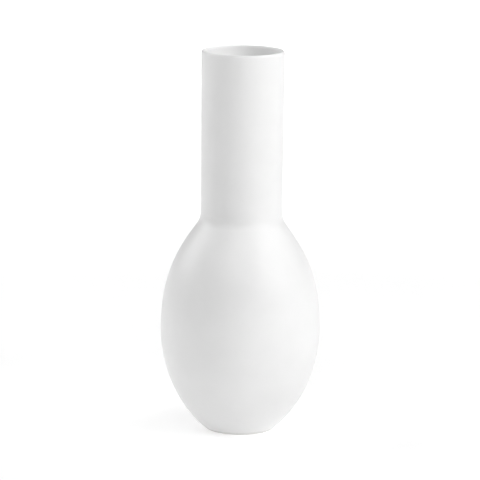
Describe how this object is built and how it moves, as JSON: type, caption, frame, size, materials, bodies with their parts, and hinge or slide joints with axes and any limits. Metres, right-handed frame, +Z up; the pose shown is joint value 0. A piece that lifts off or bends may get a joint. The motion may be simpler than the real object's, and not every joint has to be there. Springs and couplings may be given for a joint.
{
  "type": "ceramic bud vase",
  "caption": "Tall-necked ceramic bud vase with an egg-shaped body, a soft crease at the shoulder, a thin rounded lip and a small dry foot, for standing cut stems in water.",
  "frame": {"origin": "centre of the foot's underside, on the surface that the vase stands on", "axes": "+Z up along the axis of revolution, from the foot to the lip; +X and +Y are alike, because the vase is round"},
  "size_m": [0.0952, 0.0952, 0.229],
  "materials": {
    "satin_glaze": "satin-matt white glaze",
    "liner_glaze": "glossy white lining glaze",
    "bare_clay": "bare fired stoneware, sponged smooth",
    "joining_slip": "fired joining slip, rough"
  },
  "bodies": {
    "root": {"body_wall": "satin_glaze", "neck_wall": "satin_glaze", "shoulder_coil": "satin_glaze", "foot_ring": "bare_clay", "neck_joint_slip": "joining_slip", "foot_joint_slip": "joining_slip", "body_liner_glaze": "liner_glaze", "neck_liner_glaze": "liner_glaze"}
  },
  "joints": []
}
